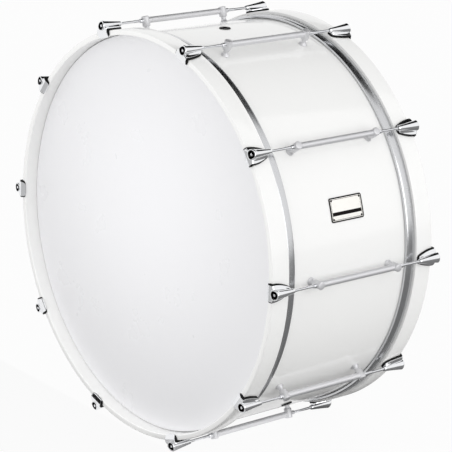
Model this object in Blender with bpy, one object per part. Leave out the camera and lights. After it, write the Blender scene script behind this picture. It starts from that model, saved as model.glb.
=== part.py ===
"""Marching bass drum, 32 x 14 in: a wrapped wood shell with ten tube lugs, two film heads on metal
flesh hoops, two wood counterhoops, and twenty claw hooks drawn in by tension rods.

The drum's axis is Y, with the front head at -Y. It stands upright on four claws: the two lowest of
each hoop. Metres, +Z up, with the origin on the floor under the middle of the drum.
"""
from math import atan2, cos, pi, radians, sin, sqrt

import bmesh
import bpy
from mathutils import Matrix, Vector

# ---------------------------------------------------------------- driving dimensions
LUG_COUNT = 10

SHELL_RADIUS = 0.4064           # 32 in across
SHELL_DEPTH = 0.3556            # 14 in from bearing edge to bearing edge
SHELL_WALL = 0.0080
EDGE_ROUND = 0.0015             # outer chamfer of the bearing edge
VENT_RADIUS = 0.0065
VENT_FLANGE = 0.0052            # how far the grommet's flange reaches past its hole
VENT_FLANGE_HEIGHT = 0.0016
VENT_LINING = 0.0012
VENT_EASE = 0.0008

FILM = 0.0005
FILM_RISE = 0.0040              # how far the film's skirt flares out to reach the flesh hoop
FLESH_WALL = 0.0018
FLESH_THICKNESS = 0.0056        # of the whole channel, across the radius
FLESH_HEIGHT = 0.0203

HOOP_THICKNESS = 0.0113
HOOP_WIDTH = 0.0413
HOOP_OVERHANG = 0.02945         # how far the counterhoop stands out past the bearing edge
HOOP_EASE = 0.0022

ROD_STANDOFF = 0.0116           # from the counterhoop's outside to the rods' axes
ROD_RADIUS = 0.0030             # M6
ROD_HEAD_SQUARE = 0.0064
ROD_HEAD_HEIGHT = 0.0062
ROD_COLLAR_RADIUS = 0.0056
ROD_COLLAR_HEIGHT = 0.0022
ROD_ENGAGEMENT = 0.0220         # length of rod inside the lug's insert

CLAW_PLATE = 0.0032
CLAW_LINER = 0.0030
CLAW_LENGTH = 0.0510
CLAW_HALF_WIDTH = 0.0185        # at the counterhoop's front edge
CLAW_TAIL_HALF_WIDTH = 0.0080
CLAW_FLANGE = 0.0022
CLAW_RIM_RADIUS = 0.0107
CLAW_TIP_RADIUS = 0.0047
CLAW_CURL = 0.0078              # depth of the hook's inward curl, from the claw's rim
CLAW_SWEEP_START = 0.0024       # from the counterhoop's outside to where the plate sweeps back
CLAW_LIP = 0.0027               # thickness of the hook's end, under the counterhoop
CLAW_BEND_INSIDE = 0.0008       # inside radius of the hook's bend
CLAW_SETBACK = 0.0005           # from the barrel's rim back to the hook's plate
CLAW_FLANK = (0.93, -0.26)      # where the saddle leaves the barrel, in barrel radii
CLAW_HOLLOW = (0.22, 0.12)      # turn of the saddle's sweep, in shares of its width and rise
CLAW_STATIONS = (0.0, 0.2, 0.5, 0.78, 1.0)
SWEEP_SHARES = (0.0, 0.25, 0.5, 0.75, 1.0)
COUNTERBORE_RADIUS = 0.0068
COUNTERBORE_DEPTH = 0.0100

LUG_SPACING = 0.2008            # between the two posts of a lug
LUG_TUBE_RADIUS = 0.00635       # half-inch tube
LUG_NOSE_RADIUS = 0.0046
LUG_NOSE_LENGTH = 0.0070
POST_RADIUS = 0.0080
POST_CROWN = 0.0090             # post's top above the tube's axis
POST_SKIRT = 0.0123             # post's head below the tube's axis
POST_DOME = 0.0012
POST_SHOULDER = 0.0008
POST_NECK_RADIUS = 0.0056
POST_NECK_LENGTH = 0.0022
POST_FOOT_RADIUS = 0.0087
POST_FOOT_LAND = 0.0008
POST_FLARE_RADIUS = 0.0068      # where the foot's flare steepens into the neck
POST_FLARE_HEIGHT = 0.0036

BADGE_WIDTH = 0.0830            # along the drum's axis
BADGE_HEIGHT = 0.0480           # round the shell
BADGE_THICKNESS = 0.0009
BADGE_PIN_RADIUS = 0.0016
BADGE_PIN_HEIGHT = 0.0005
BADGE_PIN_INSET = 0.0045

GAP = 0.0003                    # between pieces that touch
RUNNING_GAP = 0.0004            # round a turning rod, and between film and counterhoop
CUT_PAST = 0.0020               # how far a cutter runs out past what it cuts
ROD_HOLE_RADIUS = ROD_RADIUS + RUNNING_GAP

RING_SEGMENTS = 6 * LUG_COUNT   # puts a flat of every ring under every claw and post
TURNED_SEGMENTS = 8

# ---------------------------------------------------------------- places worked out from them
LUG_STEP = 2 * pi / LUG_COUNT
HALF_DEPTH = SHELL_DEPTH / 2
SKIRT_INSIDE = SHELL_RADIUS + GAP
SKIRT_OUTSIDE = SKIRT_INSIDE + FILM
HOOP_INSIDE = SKIRT_OUTSIDE + RUNNING_GAP
HOOP_OUTSIDE = HOOP_INSIDE + HOOP_THICKNESS
HOOP_FRONT = HALF_DEPTH + HOOP_OVERHANG
HOOP_REAR = HOOP_FRONT - HOOP_WIDTH
FLESH_FRONT = HOOP_REAR - GAP
FLESH_REAR = FLESH_FRONT - FLESH_HEIGHT
FLESH_INSIDE = HOOP_INSIDE + GAP
FLESH_OUTSIDE = FLESH_INSIDE + FLESH_THICKNESS
ROD_CIRCLE = HOOP_OUTSIDE + ROD_STANDOFF
CLAW_FACE = HOOP_FRONT + GAP + CLAW_LINER + CLAW_PLATE
LUG_END = LUG_SPACING / 2 + POST_RADIUS + LUG_NOSE_LENGTH
CENTRE_HEIGHT = ROD_CIRCLE * cos(LUG_STEP / 2) + CLAW_RIM_RADIUS


def lug_angle(number):
    """Angle of lug 1, 2, 3 ... round the drum, from +X towards +Z, clockwise seen from the front."""
    return pi / 2 - LUG_STEP / 2 - (number - 1) * LUG_STEP


def between_lugs(number):
    """Angle half way from that lug to the next."""
    return lug_angle(number) - LUG_STEP / 2


# ---------------------------------------------------------------- modelling helpers
def material(name, colour, roughness, metallic=0.0):
    """A plain material; colour is linear RGB."""
    surface = bpy.data.materials.new(name)
    surface.use_nodes = True
    shader = surface.node_tree.nodes["Principled BSDF"]
    shader.inputs["Base Color"].default_value = (*colour, 1.0)
    shader.inputs["Roughness"].default_value = roughness
    shader.inputs["Metallic"].default_value = metallic
    surface.diffuse_color = (*colour, 1.0)
    return surface


def turned(outline, segments, axis="Y", closed=True):
    """A solid turned about the axis from (radius to the flats, height) points.

    A closed outline makes a ring. An open one makes a solid whose two ends are flat discs.
    """
    shape = bmesh.new()
    swell = 1 / cos(pi / segments)
    lift = {"Y": lambda r, h: Vector((r * swell, h, 0)), "Z": lambda r, h: Vector((r * swell, 0, h))}[axis]
    start = Matrix.Rotation(pi / segments, 3, axis)
    corners = [shape.verts.new(start @ lift(radius, height)) for radius, height in outline]
    pairs = list(zip(corners, corners[1:]))
    if closed:
        pairs.append((corners[-1], corners[0]))
    edges = [shape.edges.new(pair) for pair in pairs]
    direction = {"Y": (0, 1, 0), "Z": (0, 0, 1)}[axis]
    bmesh.ops.spin(shape, geom=corners + edges, cent=(0, 0, 0), axis=direction,
                   angle=2 * pi, steps=segments, use_merge=True)
    bmesh.ops.remove_doubles(shape, verts=shape.verts, dist=1e-7)
    if not closed:
        rims = [edge for edge in shape.edges if edge.is_boundary]
        bmesh.ops.holes_fill(shape, edges=rims, sides=0)
    return shape


def lofted(sections):
    """A solid skinned over closed loops that have the same number of points, with flat end caps."""
    shape = bmesh.new()
    loops = [[shape.verts.new(point) for point in section] for section in sections]
    for near, far in zip(loops, loops[1:]):
        for index in range(len(near)):
            after = (index + 1) % len(near)
            shape.faces.new((near[index], near[after], far[after], far[index]))
    shape.faces.new(loops[0])
    shape.faces.new(loops[-1])
    return shape


def extruded(outline, half_width):
    """A solid of constant width along X from a (y, z) outline."""
    sides = [[(x, y, z) for y, z in outline] for x in (-half_width, half_width)]
    return lofted(sides)


def mesh_from(shape, name):
    """Turns a working shape into a mesh with smooth sides and sharp corners."""
    shape.normal_update()
    bmesh.ops.recalc_face_normals(shape, faces=shape.faces)
    mesh = bpy.data.meshes.new(name)
    shape.to_mesh(mesh)
    shape.free()
    mesh.shade_smooth()
    mesh.set_sharp_from_angle(angle=radians(32))
    return mesh


def add(name, mesh, surface=None, matrix=Matrix.Identity(4), parent=None):
    """A named object in the scene, placed by a matrix in its parent's frame."""
    item = bpy.data.objects.new(name, mesh)
    bpy.context.collection.objects.link(item)
    item.parent = parent
    item.matrix_local = matrix
    if surface is not None and mesh is not None and not mesh.materials:
        mesh.materials.append(surface)
    return item


def combined(name, base, joins=(), cuts=()):
    """One mesh from working shapes: base, plus joins, minus cuts."""
    body = add(name, mesh_from(base, name))
    helpers = []
    for operation, shapes in (("UNION", joins), ("DIFFERENCE", cuts)):
        for shape in shapes:
            tool = add(name + "_tool", mesh_from(shape, name + "_tool"))
            helpers.append(tool)
            step = body.modifiers.new(operation.lower(), "BOOLEAN")
            step.operation = operation
            step.solver = "EXACT"
            step.object = tool
    view = bpy.context.evaluated_depsgraph_get()
    result = bpy.data.meshes.new_from_object(body.evaluated_get(view))
    for item in [body, *helpers]:
        bpy.data.objects.remove(item)
    shape = bmesh.new()
    shape.from_mesh(result)
    bmesh.ops.remove_doubles(shape, verts=shape.verts, dist=2e-6)
    bmesh.ops.dissolve_limit(shape, angle_limit=radians(0.2), verts=shape.verts, edges=shape.edges)
    return mesh_from(shape, name)


def around(angle, radius, along=0.0):
    """Frame on the circle of that radius: local Z points outward, local Y along the drum's axis."""
    turn = Matrix.Rotation(pi / 2 - angle, 4, "Y")
    return Matrix.Translation((radius * cos(angle), along, radius * sin(angle))) @ turn


def end_frame(side):
    """Turns what is modelled for the front end (side -1) round to face the rear (side 1)."""
    return Matrix.Identity(4) if side < 0 else Matrix.Rotation(pi, 4, "Z")


# ---------------------------------------------------------------- rings and heads
def edge_corners(offset):
    """The two corners of the bearing edge's outer chamfer, moved outward by offset."""
    spread = offset * (sqrt(2) - 1)
    wall = (SHELL_RADIUS + offset, HALF_DEPTH - EDGE_ROUND + spread)
    crest = (SHELL_RADIUS - EDGE_ROUND + spread, HALF_DEPTH + offset)
    return wall, crest


def shell_outline():
    """Half of the shell's section, then its mirror image: chamfer, crest and 45 degree inner bevel."""
    wall, crest = edge_corners(0.0)
    inside = SHELL_RADIUS - SHELL_WALL
    half = [wall, crest, (inside, HALF_DEPTH - (crest[0] - inside))]
    return half + [(radius, -height) for radius, height in reversed(half)]


def film_outline():
    """Section of the film: flat head, bent over the bearing edge, skirt flared into the flesh hoop."""
    hem = FLESH_REAR + FLESH_WALL + GAP
    step = FLESH_FRONT + GAP
    sides = []
    for offset in (GAP + FILM, GAP):
        wall, crest = edge_corners(offset)
        flared = SHELL_RADIUS + offset + FILM_RISE - GAP
        sides.append([crest, wall, (SHELL_RADIUS + offset, step), (flared, step - FILM_RISE), (flared, hem)])
    outer, inner = sides
    return [(radius, -height) for radius, height in outer + inner[::-1]]


def flesh_hoop_outline():
    """Section of the channel that grips the film's hem, open towards the counterhoop."""
    slot_out = FLESH_OUTSIDE - FLESH_WALL
    slot_in = SHELL_RADIUS + FILM_RISE - GAP
    low_lip = FLESH_FRONT - FILM_RISE - 2 * GAP
    floor = FLESH_REAR + FLESH_WALL
    outline = [(FLESH_OUTSIDE, FLESH_FRONT), (FLESH_OUTSIDE, FLESH_REAR), (FLESH_INSIDE, FLESH_REAR),
               (FLESH_INSIDE, low_lip), (slot_in, low_lip), (slot_in, floor), (slot_out, floor),
               (slot_out, FLESH_FRONT)]
    return [(radius, -height) for radius, height in outline]


def counterhoop_outline():
    """Section of the wood hoop, eased at both front corners."""
    outline = [(HOOP_OUTSIDE, HOOP_REAR), (HOOP_INSIDE, HOOP_REAR), (HOOP_INSIDE, HOOP_FRONT - HOOP_EASE),
               (HOOP_INSIDE + HOOP_EASE, HOOP_FRONT), (HOOP_OUTSIDE - HOOP_EASE, HOOP_FRONT),
               (HOOP_OUTSIDE, HOOP_FRONT - HOOP_EASE)]
    return [(radius, -height) for radius, height in outline]


def shell_mesh(vent_angles):
    """The shell, with its vent holes."""
    drills = []
    for angle in vent_angles:
        drill = turned([(VENT_RADIUS, -2 * SHELL_WALL), (VENT_RADIUS, 2 * SHELL_WALL)],
                       TURNED_SEGMENTS, "Z", closed=False)
        drill.transform(around(angle, SHELL_RADIUS))
        drills.append(drill)
    return combined("shell", turned(shell_outline(), RING_SEGMENTS), cuts=drills)


def vent_grommet_mesh():
    """Flanged eyelet that lines the vent hole; local Z points out of the shell."""
    outside = VENT_RADIUS - GAP
    bore = outside - VENT_LINING
    flange = VENT_RADIUS + VENT_FLANGE
    outline = [(flange, GAP), (outside, GAP), (outside, -SHELL_WALL), (bore, -SHELL_WALL),
               (bore, GAP + VENT_FLANGE_HEIGHT),
               (flange - VENT_EASE, GAP + VENT_FLANGE_HEIGHT), (flange, GAP + VENT_FLANGE_HEIGHT - VENT_EASE)]
    return mesh_from(turned(outline, TURNED_SEGMENTS, "Z"), "vent_grommet")


# ---------------------------------------------------------------- claw hook
def saddle_half_width(along):
    """Half width of the claw's saddle, which narrows like a shield towards the tail."""
    start = CLAW_PLATE + CLAW_LINER
    share = max(0.0, (along - start) / (CLAW_LENGTH - CLAW_TIP_RADIUS - start))
    return CLAW_TAIL_HALF_WIDTH + (CLAW_HALF_WIDTH - CLAW_TAIL_HALF_WIDTH) * cos(pi / 2 * share)


def barrel_radius(along):
    """Radius of the claw's tapered barrel."""
    return CLAW_RIM_RADIUS + (CLAW_TIP_RADIUS - CLAW_RIM_RADIUS) * along / CLAW_LENGTH


def saddle_section(along):
    """Section of the claw across its length: lined flange, and a hollow sweep up to the barrel."""
    seat = -ROD_STANDOFF + GAP
    barrel = barrel_radius(along)
    flank = barrel * Vector(CLAW_FLANK)
    flange = Vector((saddle_half_width(along), seat + CLAW_LINER + CLAW_FLANGE))
    across, up = CLAW_HOLLOW
    hollow = Vector((flank.x + across * (flange.x - flank.x), flange.y + up * (flank.y - flange.y)))
    wing = [(flange.x, seat), flange, hollow, flank]
    right = [(x, along, z) for x, z in wing]
    left = [(-x, along, z) for x, z in wing]
    return right + left[::-1]


def hook_outline():
    """Side view of the hook: a plate that sweeps back to its lip, and the lined notch inside it."""
    top = CLAW_LINER - ROD_STANDOFF
    back = CLAW_PLATE + CLAW_LINER
    under = ROD_STANDOFF + HOOP_THICKNESS + GAP
    start = ROD_STANDOFF + CLAW_SWEEP_START
    drop = under + CLAW_LIP - start
    turn = 2 * atan2(back + CLAW_BEND_INSIDE - CLAW_SETBACK, drop)
    radius = drop / sin(turn)
    sweep = [(CLAW_SETBACK + radius * (1 - cos(share * turn)), -start - radius * sin(share * turn))
             for share in SWEEP_SHARES]
    bend = [(back + CLAW_BEND_INSIDE * (1 - cos(angle)), CLAW_BEND_INSIDE * (1 - sin(angle)) - under)
            for angle in (0.0, pi / 4, pi / 2)]
    inside = [(back, top), *bend, (CLAW_CURL, -under)]
    return [(CLAW_SETBACK, top), *sweep, *inside[::-1]]


def claw_mesh():
    """One claw, with its liner, in its own frame: rod on the Y axis, rim at 0, Z outward."""
    tail = CLAW_LENGTH - CLAW_TIP_RADIUS
    saddle = lofted([saddle_section(CLAW_SETBACK + share * (tail - CLAW_SETBACK)) for share in CLAW_STATIONS])
    barrel = turned([(CLAW_RIM_RADIUS, 0.0), (CLAW_TIP_RADIUS, CLAW_LENGTH)], 2 * LUG_COUNT, closed=False)
    hook = extruded(hook_outline(), CLAW_HALF_WIDTH)
    bore = turned([(COUNTERBORE_RADIUS, -CUT_PAST), (COUNTERBORE_RADIUS, COUNTERBORE_DEPTH),
                   (ROD_HOLE_RADIUS, COUNTERBORE_DEPTH), (ROD_HOLE_RADIUS, CLAW_LENGTH + CUT_PAST)],
                  TURNED_SEGMENTS, closed=False)
    return combined("claw", saddle, joins=[barrel, hook], cuts=[bore])


# ---------------------------------------------------------------- tension rod
def rod_end():
    """How far a rod reaches from the claw's face."""
    return CLAW_FACE - LUG_END + ROD_ENGAGEMENT


def tension_rod_mesh():
    """Square key head, collar and shank, on the Y axis of the claw's frame."""
    seat = COUNTERBORE_DEPTH - GAP
    collar = seat - ROD_COLLAR_HEIGHT
    shank = turned([(ROD_COLLAR_RADIUS, collar), (ROD_COLLAR_RADIUS, seat), (ROD_RADIUS, seat),
                    (ROD_RADIUS, rod_end())], TURNED_SEGMENTS, closed=False)
    head = turned([(ROD_HEAD_SQUARE / 2, collar - ROD_HEAD_HEIGHT), (ROD_HEAD_SQUARE / 2, collar + GAP)],
                  4, closed=False)
    return combined("tension_rod", shank, joins=[head])


# ---------------------------------------------------------------- tube lug
def post_shape(along):
    """One post: flared foot on the shell, waist, and the head that the tube passes through."""
    foot = SHELL_RADIUS + GAP - ROD_CIRCLE
    waist = -POST_SKIRT - POST_SHOULDER
    outline = [(POST_FOOT_RADIUS, foot), (POST_FOOT_RADIUS, foot + POST_FOOT_LAND),
               (POST_FLARE_RADIUS, foot + POST_FLARE_HEIGHT), (POST_NECK_RADIUS, waist - POST_NECK_LENGTH),
               (POST_NECK_RADIUS, waist), (POST_RADIUS, -POST_SKIRT),
               (POST_RADIUS, POST_CROWN - POST_DOME), (POST_RADIUS - POST_DOME, POST_CROWN)]
    post = turned(outline, TURNED_SEGMENTS, "Z", closed=False)
    post.transform(Matrix.Translation((0, along, 0)))
    return post


def lug_mesh():
    """Tube, its two posts and the threaded noses, in a frame with the tube on the Y axis."""
    shoulder = LUG_SPACING / 2 + POST_RADIUS / 2
    outline = [(LUG_NOSE_RADIUS, -LUG_END), (LUG_NOSE_RADIUS, -shoulder), (LUG_TUBE_RADIUS, -shoulder)]
    outline += [(radius, -height) for radius, height in reversed(outline)]
    tube = turned(outline, TURNED_SEGMENTS, closed=False)
    bore = turned([(ROD_HOLE_RADIUS, -LUG_END - CUT_PAST), (ROD_HOLE_RADIUS, LUG_END + CUT_PAST)],
                  TURNED_SEGMENTS, closed=False)
    posts = [post_shape(side * LUG_SPACING / 2) for side in (-1, 1)]
    return combined("lug", tube, joins=posts, cuts=[bore])


# ---------------------------------------------------------------- badge
def badge_mesh(angle):
    """A bare plate bent to the shell, held by four pins."""
    facet = 2 * pi / RING_SEGMENTS
    half_turn = BADGE_HEIGHT / 2 / SHELL_RADIUS
    corners_inside = int(half_turn / facet + 0.5)
    bends = [angle - half_turn]
    bends += [angle + (index + 0.5) * facet for index in range(-corners_inside, corners_inside)]
    bends.append(angle + half_turn)

    def wall_distance(at):
        within = (at + facet / 2) % facet - facet / 2
        return 1 / cos(within)

    sections = []
    for at in bends:
        inner = (SHELL_RADIUS + GAP) * wall_distance(at)
        outer = (SHELL_RADIUS + GAP + BADGE_THICKNESS) * wall_distance(at)
        corners = [(inner, -1), (inner, 1), (outer, 1), (outer, -1)]
        sections.append([(r * cos(at), side * BADGE_WIDTH / 2, r * sin(at)) for r, side in corners])
    plate = lofted(sections)
    pins = []
    for side in (-1, 1):
        for turn in (-1, 1):
            pin = turned([(BADGE_PIN_RADIUS, GAP + BADGE_THICKNESS / 2),
                          (BADGE_PIN_RADIUS, GAP + BADGE_THICKNESS + BADGE_PIN_HEIGHT)], 6, "Z", closed=False)
            pin_angle = angle + turn * (half_turn - BADGE_PIN_INSET / SHELL_RADIUS)
            pin_along = side * (BADGE_WIDTH / 2 - BADGE_PIN_INSET)
            pin.transform(around(pin_angle, SHELL_RADIUS * wall_distance(pin_angle), pin_along))
            pins.append(pin)
    return combined("badge_plate", plate, joins=pins)


# ---------------------------------------------------------------- the drum
def build():
    for item in list(bpy.data.objects):
        bpy.data.objects.remove(item)

    wrap = material("white_drum_wrap", (0.86, 0.86, 0.86), 0.12)
    lacquer = material("white_hoop_lacquer", (0.88, 0.88, 0.88), 0.15)
    film = material("white_head_film", (0.84, 0.84, 0.85), 0.30)
    aluminium = material("brushed_aluminium", (0.62, 0.62, 0.62), 0.30, 1.0)
    satin = material("satin_silver_lug", (0.60, 0.60, 0.62), 0.35, 1.0)
    chrome = material("chrome_claw", (0.78, 0.78, 0.80), 0.08, 1.0)
    steel = material("chrome_rod", (0.72, 0.72, 0.74), 0.12, 1.0)
    rubber = material("black_rubber", (0.02, 0.02, 0.02), 0.60)

    middle = Matrix.Translation((0, 0, CENTRE_HEIGHT))
    drum = add("drum_axis", None, matrix=middle)
    vent_angles = [between_lugs(LUG_COUNT), between_lugs(4)]

    add("shell", shell_mesh(vent_angles), wrap, parent=drum)
    grommet = vent_grommet_mesh()
    for number, angle in enumerate(vent_angles, start=1):
        add(f"vent_grommet_{number:02d}", grommet, rubber, around(angle, SHELL_RADIUS), drum)
    add("badge_plate", badge_mesh(between_lugs(2)), satin, parent=drum)

    lug = lug_mesh()
    for number in range(1, LUG_COUNT + 1):
        add(f"lug_{number:02d}", lug, satin, around(lug_angle(number), ROD_CIRCLE), drum)

    head = mesh_from(turned(film_outline(), RING_SEGMENTS, closed=False), "head")
    flesh_hoop = mesh_from(turned(flesh_hoop_outline(), RING_SEGMENTS), "flesh_hoop")
    counterhoop = mesh_from(turned(counterhoop_outline(), RING_SEGMENTS), "counterhoop")
    claw = claw_mesh()
    rod = tension_rod_mesh()
    for end, side in (("front", -1), ("rear", 1)):
        hoop_set = add(f"{end}_hoop_set", None, matrix=end_frame(side), parent=drum)
        add(f"head_{end}", head, film, parent=hoop_set)
        add(f"flesh_hoop_{end}", flesh_hoop, aluminium, parent=hoop_set)
        add(f"counterhoop_{end}", counterhoop, lacquer, parent=hoop_set)
        for number in range(1, LUG_COUNT + 1):
            angle = lug_angle(number) if side < 0 else pi - lug_angle(number)
            station = around(angle, ROD_CIRCLE, -CLAW_FACE)
            add(f"claw_{end}_{number:02d}", claw, chrome, station, hoop_set)
            add(f"tension_rod_{end}_{number:02d}", rod, steel, station, hoop_set)


build()
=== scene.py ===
# %% [markdown]
# # A 32 inch marching bass drum
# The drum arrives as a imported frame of 60 parts. Each is right in place and size, but is made of flat
# facets. This lesson keeps the places and gives every part its smooth form and its finish.
# All measures are in metres. The drum's axis is Y, its front head faces -Y, and +Z is up.

from math import atan2, cos, degrees, hypot, pi, radians, sin, sqrt, tan

import bmesh
import bpy
from mathutils import Matrix, Vector


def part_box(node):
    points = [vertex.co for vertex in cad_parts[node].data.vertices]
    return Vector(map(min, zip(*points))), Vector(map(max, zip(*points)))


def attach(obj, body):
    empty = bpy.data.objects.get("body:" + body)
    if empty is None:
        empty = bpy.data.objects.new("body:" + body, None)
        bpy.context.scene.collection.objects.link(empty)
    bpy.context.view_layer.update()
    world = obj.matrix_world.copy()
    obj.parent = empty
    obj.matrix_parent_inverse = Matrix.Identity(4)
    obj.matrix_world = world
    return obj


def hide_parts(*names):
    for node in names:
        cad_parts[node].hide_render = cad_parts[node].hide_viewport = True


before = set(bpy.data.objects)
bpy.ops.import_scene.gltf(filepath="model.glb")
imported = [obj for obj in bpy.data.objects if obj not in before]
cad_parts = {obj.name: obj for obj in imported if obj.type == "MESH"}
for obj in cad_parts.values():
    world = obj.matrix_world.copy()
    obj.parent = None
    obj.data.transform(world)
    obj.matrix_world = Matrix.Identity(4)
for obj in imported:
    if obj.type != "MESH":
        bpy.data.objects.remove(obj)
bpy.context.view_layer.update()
print("parts in the frame:", len(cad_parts))

# %% [markdown]
# ## Reading sizes off the frame
# Every radius and plane below comes from a part's own box. Part 3 of each row of ten sits level with
# the axis, at +X, so its box gives distances from the axis directly.

# %% Measure the drum
LUG_COUNT = 10


def radius_of(node):
    low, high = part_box(node)
    return (high.x - low.x) / 2


shell_low, shell_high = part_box("shell")
axis_height = (shell_low.z + shell_high.z) / 2
shell_radius = radius_of("shell")
half_depth = (shell_high.y - shell_low.y) / 2

hoop_low, hoop_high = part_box("counterhoop_front")
hoop_outside = radius_of("counterhoop_front")
hoop_front, hoop_back = -hoop_low.y, -hoop_high.y

flesh_low, flesh_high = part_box("flesh_hoop_front")
flesh_outside = radius_of("flesh_hoop_front")
flesh_front, flesh_back = -flesh_low.y, -flesh_high.y

claw_low, claw_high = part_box("claw_front_03")
claw_face, claw_tip = -claw_low.y, -claw_high.y
claw_length = claw_face - claw_tip
claw_width = claw_high.z - claw_low.z

rod_low, rod_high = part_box("tension_rod_front_03")
rod_circle = (rod_low.x + rod_high.x) / 2
rod_front, rod_end = -rod_low.y, -rod_high.y

lug_low, lug_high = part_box("lug_03")
foot_reach = rod_circle - lug_low.x
crown_reach = lug_high.x - rod_circle
foot_radius = (lug_high.z - lug_low.z) / 2
tube_end = lug_high.y
print("shell radius, half depth:", round(shell_radius, 4), round(half_depth, 4))
print("hoop outside, front, back:", round(hoop_outside, 4), round(hoop_front, 4), round(hoop_back, 4))
print("rod circle:", round(rod_circle, 4), "claw face:", round(claw_face, 4))

# %% [markdown]
# ## Placing ten of everything
# Lugs, claws and rods repeat every 36 degrees. Each is modelled in a small local frame, with the rod on
# local Y and local Z pointing away from the shell, and a matrix takes it to its station. The rear end
# is the front end turned half a turn about the vertical.

# %% Stations round the drum
def lug_angle(number):
    """Angle from +X towards +Z of station 1, 2, 3 ... clockwise from the front."""
    return pi / 2 - pi / LUG_COUNT - (number - 1) * 2 * pi / LUG_COUNT


def station(angle, radius, along=0.0):
    """Frame on the circle of that radius: local Z points outward, local Y along the axis."""
    place = Matrix.Translation((radius * cos(angle), along, axis_height + radius * sin(angle)))
    return place @ Matrix.Rotation(pi / 2 - angle, 4, "Y")


def end_station(end, number, radius, along):
    """A station on the front or the rear end; along is the distance from the middle plane."""
    if end == "front":
        return station(lug_angle(number), radius, -along)
    return station(lug_angle(number), radius, along) @ Matrix.Rotation(pi, 4, "Z")


def drum_axis(end):
    """Frame on the drum's axis whose -Y runs out of the front or the rear head."""
    place = Matrix.Translation((0, 0, axis_height))
    return place if end == "front" else place @ Matrix.Rotation(pi, 4, "Z")


print("station angles:", [round(degrees(lug_angle(n))) for n in range(1, LUG_COUNT + 1)])

# %% [markdown]
# ## Small helpers
# Most of a drum is turned work, so the main tool is a lathe: a profile of (radius, height) pairs, and
# the spin operator to carry it round. Corners are then eased with the bevel operator, because no
# lacquered or plated edge is truly sharp.

# %% Mesh helpers
def lathe(profile, steps, axis="Y", closed=True):
    """Spins a (radius, height) profile once round an axis. Points at radius 0 close into a pole."""
    shape = bmesh.new()
    at = (lambda r, h: (r, h, 0)) if axis == "Y" else (lambda r, h: (r, 0, h))
    corners = [shape.verts.new(at(radius, height)) for radius, height in profile]
    edges = [shape.edges.new(pair) for pair in zip(corners, corners[1:])]
    if closed:
        edges.append(shape.edges.new((corners[-1], corners[0])))
    turn = (0, 1, 0) if axis == "Y" else (0, 0, 1)
    bmesh.ops.spin(shape, geom=corners + edges, cent=(0, 0, 0), axis=turn,
                   angle=2 * pi, steps=steps, use_merge=True)
    bmesh.ops.remove_doubles(shape, verts=shape.verts, dist=1e-6)
    return shape


def tube(outside, inside, start, end, steps):
    """A plain turned tube between two heights."""
    return lathe([(outside, start), (outside, end), (inside, end), (inside, start)], steps)


def ease(shape, chosen, offset, segments=3):
    """Rounds the chosen edges."""
    bmesh.ops.bevel(shape, geom=chosen, offset=offset, offset_type="OFFSET", segments=segments,
                    affect="EDGES", profile=0.5, material=-1, clamp_overlap=True)


def rings_at(shape, spots, axis="Y", reach=1e-4):
    """Circular edges that run through the given (radius, height) spots of a turned shape."""
    def is_at(point, radius, height):
        across, along = (point.z, point.y) if axis == "Y" else (point.y, point.z)
        return max(abs(hypot(point.x, across) - radius), abs(along - height)) < reach

    return [edge for edge in shape.edges
            if any(all(is_at(vert.co, *spot) for vert in edge.verts) for spot in spots)]


def add_object(name, data):
    """A new object of the scene that shows a mesh, a lamp or a camera."""
    item = bpy.data.objects.new(name, data)
    bpy.context.scene.collection.objects.link(item)
    return item


def to_object(name, shape, *surfaces):
    """Writes a bmesh to a new object, with its materials."""
    mesh = bpy.data.meshes.new(name)
    shape.to_mesh(mesh)
    for surface in surfaces:
        mesh.materials.append(surface)
    return add_object(name, mesh)


made = {}


def finish_piece(name, shape, finish, place, body, replaces=(), crease=40, extra=()):
    """Turns a bmesh into a placed, smooth shaded object that rides on a CAD body."""
    bmesh.ops.recalc_face_normals(shape, faces=shape.faces)
    shape.transform(place)
    if place.determinant() < 0:
        bmesh.ops.reverse_faces(shape, faces=shape.faces)
    piece = to_object(name, shape, finish, *extra)
    piece.data.shade_smooth()
    piece.data.set_sharp_from_angle(angle=radians(crease))
    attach(piece, body)
    if replaces:
        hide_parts(*replaces)
    made[name] = len(piece.data.polygons)
    return piece


print("helpers ready")

# %% [markdown]
# ## Finishes
# A finish starts from what the surface really is. One function turns an sRGB hex value into a shader's
# linear colour, and one adds a node with its settings and links. Patterns are sized in millimetres:
# Object coordinates are in metres, so a noise scale of 1000 / s gives features s mm wide.

# %% Colour and node helpers
def linear(hex_colour):
    """sRGB hex to linear RGBA."""
    channels = [int(hex_colour[i:i + 2], 16) / 255 for i in (1, 3, 5)]
    return (*[c / 12.92 if c <= 0.04045 else ((c + 0.055) / 1.055) ** 2.4 for c in channels], 1.0)


def node(tree, kind, values=None, links=None, **settings):
    """Adds a node. values sets its inputs, links joins them to other nodes' outputs."""
    item = tree.nodes.new(kind)
    for name, value in settings.items():
        setattr(item, name, value)
    for name, value in (values or {}).items():
        item.inputs[name].default_value = value
    for name, (source, output) in (links or {}).items():
        tree.links.new(source.outputs[output], item.inputs[name])
    return item


def new_finish(name, colour, roughness, metallic=0.0, ior=1.5, **sockets):
    """A Principled material with its plain values set; patterns are added by the caller."""
    finish = bpy.data.materials.new(name)
    finish.use_nodes = True
    shader = finish.node_tree.nodes["Principled BSDF"]
    sockets.update(Base_Color=linear(colour), Roughness=roughness, Metallic=metallic, IOR=ior)
    for socket, value in sockets.items():
        shader.inputs[socket.replace("_", " ")].default_value = value
    return finish, finish.node_tree, shader


def per_mm(size):
    """Noise scale whose features are that many millimetres wide."""
    return 1000.0 / size


print("helpers ready; white is", linear("#FFFFFF")[:3])

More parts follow.
